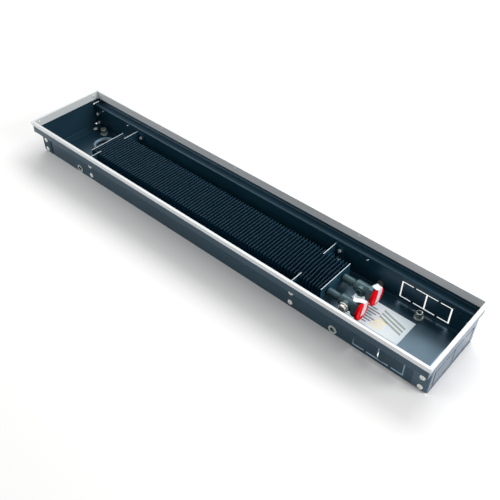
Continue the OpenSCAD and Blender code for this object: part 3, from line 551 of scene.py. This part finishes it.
# Clearance of the fins round a tube, and the width round a hole where the grid closes up to it
FIN_HOLE_CLEAR = 0.08 * MM
FIN_HOLE_BAND = 1.3 * MM
# The fins get loose from this one on, fully so after this many more
LOOSE_FROM = 64
LOOSE_OVER = 20
# How far the front corners of the loose fins are bent towards the end plate, and where on the
# fin's width the bend starts and over how much of it it grows
SWING = 2.6 * MM
SWING_FROM = 0.5
SWING_OVER = 0.4
# Lean of a fin in mm, and how much more of it a loose one has
FIN_LEAN = 0.12
FIN_LEAN_LOOSE = 3
# Waves along a fin's top: their reach in mm, for a firm fin and on top of that for a loose one,
# the half waves along its width, and one full turn of their phase
WAVE_REACH = 0.05
WAVE_REACH_LOOSE = 0.25
HALF_WAVES = (2, 5, 9)
WAVE_TURN = 6.28


def fin_bends(rng, loose):
    """How far a fin's top edge stands off its plane, as a function of the place on its width.

    The place runs from 0 at the front edge to 1 at the back edge.
    """
    lean = rng.uniform(-FIN_LEAN, FIN_LEAN) * (1 + FIN_LEAN_LOOSE * loose) * MM
    reach = (WAVE_REACH + WAVE_REACH_LOOSE * loose) * MM
    waves = [(rng.uniform(-reach, reach), rng.uniform(0, WAVE_TURN), k) for k in HALF_WAVES]

    def bend(place):
        swing = loose * SWING * max(0, min(1, (1 - place - SWING_FROM) / SWING_OVER))
        return lean + swing + sum(
            a * math.sin(k * place * WAVE_TURN / 2 + phase) for a, phase, k in waves
        )

    return bend


def build_fins():
    """The fins as thin sheets with slightly uneven edges and a hole for each tube."""
    low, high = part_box("fin_pack")
    tube_low, tube_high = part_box("tube_back")
    pitch = (high.x - low.x - FIN_CAD_T) / (FIN_COUNT - 1)
    hole_r = (tube_high.z - tube_low.z) / 2 + FIN_HOLE_CLEAR
    tube_y = (tube_low.y + tube_high.y) / 2
    tube_z = (tube_low.z + tube_high.z) / 2
    tubes = [Vector((side * tube_y, tube_z)) for side in (-1, 1)]
    vertices, faces = [], []
    rng = random.Random(7)
    for fin in range(FIN_COUNT):
        x = low.x + FIN_CAD_T / 2 + fin * pitch
        loose = min(1, max(0, (fin - LOOSE_FROM) / LOOSE_OVER))
        bend = fin_bends(rng, loose)
        flat = fin in (0, FIN_COUNT - 1)
        ids = {}
        for i in range(FIN_COLUMNS + 1):
            along = i / FIN_COLUMNS
            for j in range(FIN_ROWS + 1):
                up = j / FIN_ROWS
                at = Vector((low.y + (high.y - low.y) * along, low.z + (high.z - low.z) * up))
                on_hole = False
                for tube in tubes:
                    away = at - tube
                    if away.length < hole_r + FIN_HOLE_BAND:
                        at = tube + away.normalized() * hole_r
                        on_hole = True
                off = 0 if flat else bend(along) * up ** 2
                ids[i, j] = (len(vertices), on_hole)
                vertices.append((x + off, at.x, at.y))
        for i in range(FIN_COLUMNS):
            for j in range(FIN_ROWS):
                corners = [ids[i, j], ids[i + 1, j], ids[i + 1, j + 1], ids[i, j + 1]]
                if not all(on_hole for _, on_hole in corners):
                    faces.append([index for index, _ in corners])
    piece = mesh_object("fins", vertices, faces)
    thicken(piece, FIN_T)
    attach(piece, "trough")
    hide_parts("fin_pack")
    paint(piece, "fins")


# Height of the printed shapes, and their clearance over the label
INK_T = 0.03 * MM
INK_LIFT = 0.02 * MM
# Bars: their number, left end, lowest edge, spacing and height, and their least length and the
# step of the length from one bar to the next, as shares of the label's sides
BARS = 7
BAR_FROM = 0.27
BAR_LOW = 0.12
BAR_SPACING = 0.1
BAR_HEIGHT = 0.035
BAR_LENGTH = 0.16
BAR_STEP = 0.04
BAR_STEPS = 3
# Pale patch, as shares of the label's sides: left, low, right, high
PATCH = (0.5, 0.12, 0.68, 0.5)
# Slanted bands, as shares of the label's sides
BANDS = 3
BAND_FROM = 0.52
BAND_TO = 0.94
BAND_LOW = 0.55
BAND_SPACING = 0.13
BAND_FALL = 0.22
BAND_HEIGHT = 0.07


def build_label_print():
    """A generic printed pattern on the floor label: bars, a pale patch and slanted bands."""
    low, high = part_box("floor_label")
    size = high - low
    z = high.z + INK_LIFT

    def shape(name, shares, material):
        """A thin closed polygon from points in shares of the label's sides."""
        count = len(shares)
        flat = [(low.x + u * size.x, low.y + v * size.y) for u, v in shares]
        vertices = [(x, y, z) for x, y in flat] + [(x, y, z + INK_T) for x, y in flat]
        faces = [list(range(count - 1, -1, -1)), list(range(count, 2 * count))]
        for i in range(count):
            after = (i + 1) % count
            faces.append((i, after, count + after, count + i))
        piece = mesh_object(name, vertices, faces, smooth=False)
        piece.data.materials.append(material)
        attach(piece, "trough")

    def block(name, u0, v0, u1, v1, material):
        shape(name, [(u0, v0), (u1, v0), (u1, v1), (u0, v1)], material)

    dark = ink("ink_dark", INK_DARK)
    warm = ink("ink_warm", INK_WARM, INK_WARM_FADE)
    green = ink("ink_green", INK_GREEN)
    for i in range(BARS):
        v = BAR_LOW + BAR_SPACING * i
        bar_to = BAR_FROM + BAR_LENGTH + BAR_STEP * (i % BAR_STEPS)
        block(f"print_bar_{i}", BAR_FROM, v, bar_to, v + BAR_HEIGHT, dark)
    block("print_patch", *PATCH, warm)
    for i in range(BANDS):
        v = BAND_LOW + BAND_SPACING * i
        end = v - BAND_FALL
        points = [(BAND_FROM, v), (BAND_TO, end)]
        points += [(BAND_TO, end + BAND_HEIGHT), (BAND_FROM, v + BAND_HEIGHT)]
        shape(f"print_band_{i}", points, green)


# ---- studio ----

FLOOR_REACH = 12
FLOOR_DROP = 0.2 * MM
# Light that the floor adds towards the camera
FLOOR_LIFT = 0.02
SURROUND = (0.97, 0.985, 1)
# Strength of the surround as a light, and what it gains where the camera looks at it
SURROUND_LIGHT = 0.42
SURROUND_SEEN = 0.58


def build_stage():
    """A plain pale floor that shows nearly white to the camera and keeps the shadow."""
    corners = [(-1, -1), (1, -1), (1, 1), (-1, 1)]
    places = [(FLOOR_REACH * x, FLOOR_REACH * y, 0) for x, y in corners]
    floor = mesh_object("floor", places, [(0, 1, 2, 3)], smooth=False)
    floor.location.z = -FLOOR_DROP
    shade = Shader("floor_paint", FLOOR, 0.8, specular=0.2)
    shade.vary_colour(shade.spread(shade.noise(3), 0, 0.3), FLOOR_CLOUD)
    shade.bsdf.inputs["Emission Color"].default_value = (1, 1, 1, 1)
    lift = shade.node("Math", operation="MULTIPLY")
    lift.inputs[1].default_value = FLOOR_LIFT
    shade.link(shade.node("LightPath").outputs["Is Camera Ray"], lift.inputs[0])
    shade.link(lift.outputs[0], shade.bsdf.inputs["Emission Strength"])
    floor.data.materials.append(shade.material)


def build_world():
    """A pale surround: white where the camera looks at it, dimmer as a light."""
    world = bpy.data.worlds.new("studio")
    bpy.context.scene.world = world
    world.use_nodes = True
    tree = world.node_tree
    background = tree.nodes["Background"]
    background.inputs["Color"].default_value = (*SURROUND, 1)
    path = tree.nodes.new("ShaderNodeLightPath")
    strength = tree.nodes.new("ShaderNodeMath")
    strength.operation = "MULTIPLY_ADD"
    tree.links.new(path.outputs["Is Camera Ray"], strength.inputs[0])
    strength.inputs[1].default_value = SURROUND_SEEN
    strength.inputs[2].default_value = SURROUND_LIGHT
    tree.links.new(strength.outputs[0], background.inputs["Strength"])


def softbox(name, place, target, width, height, power):
    """A rectangular white light at a place, turned to a target."""
    lamp = bpy.data.lights.new(name, "AREA")
    lamp.shape = "RECTANGLE"
    lamp.size, lamp.size_y = width, height
    lamp.energy = power
    made = bpy.data.objects.new(name, lamp)
    bpy.context.scene.collection.objects.link(made)
    made.location = place
    made.rotation_euler = (Vector(target) - Vector(place)).to_track_quat("-Z", "Y").to_euler()


def build_lights():
    """Four soft lights; the one behind gives the sheen on the floor of the right bay."""
    softbox("key_back", (-0.05, 1.15, 1.55), (0.2, 0, 0), 1.4, 1.1, power=23)
    softbox("back_left", (-1.3, 1.1, 1.3), (-0.3, 0, 0), 0.8, 0.6, power=8)
    softbox("front_left", (-1.5, -1.4, 1.0), (-0.3, 0, 0), 1.2, 0.8, power=15)
    softbox("right_side", (2.3, 0.45, 1.2), (-0.2, 0, 0.05), 1.5, 1.0, power=47)


def build_camera():
    """The camera of the photograph."""
    camera = bpy.data.objects.new("camera", bpy.data.cameras.new("camera"))
    bpy.context.scene.collection.objects.link(camera)
    camera.data.sensor_width = SENSOR
    camera.data.lens = CAMERA_LENS
    camera.data.clip_start = CAMERA_NEAR
    aim = (CAMERA_TARGET - CAMERA_AT).to_track_quat("-Z", "Y").to_matrix().to_4x4()
    roll = Matrix.Rotation(CAMERA_ROLL, 4, "Z")
    camera.matrix_world = Matrix.Translation(CAMERA_AT) @ aim @ roll
    bpy.context.scene.camera = camera


paint_nodes()
build_fins()
build_tape("front", "front_cap", FRONT_TAPE)
build_tape("back", "back_cap", BACK_TAPE)
build_label_print()
build_stage()
build_world()
build_lights()
build_camera()
bpy.context.scene.view_settings.view_transform = "Standard"
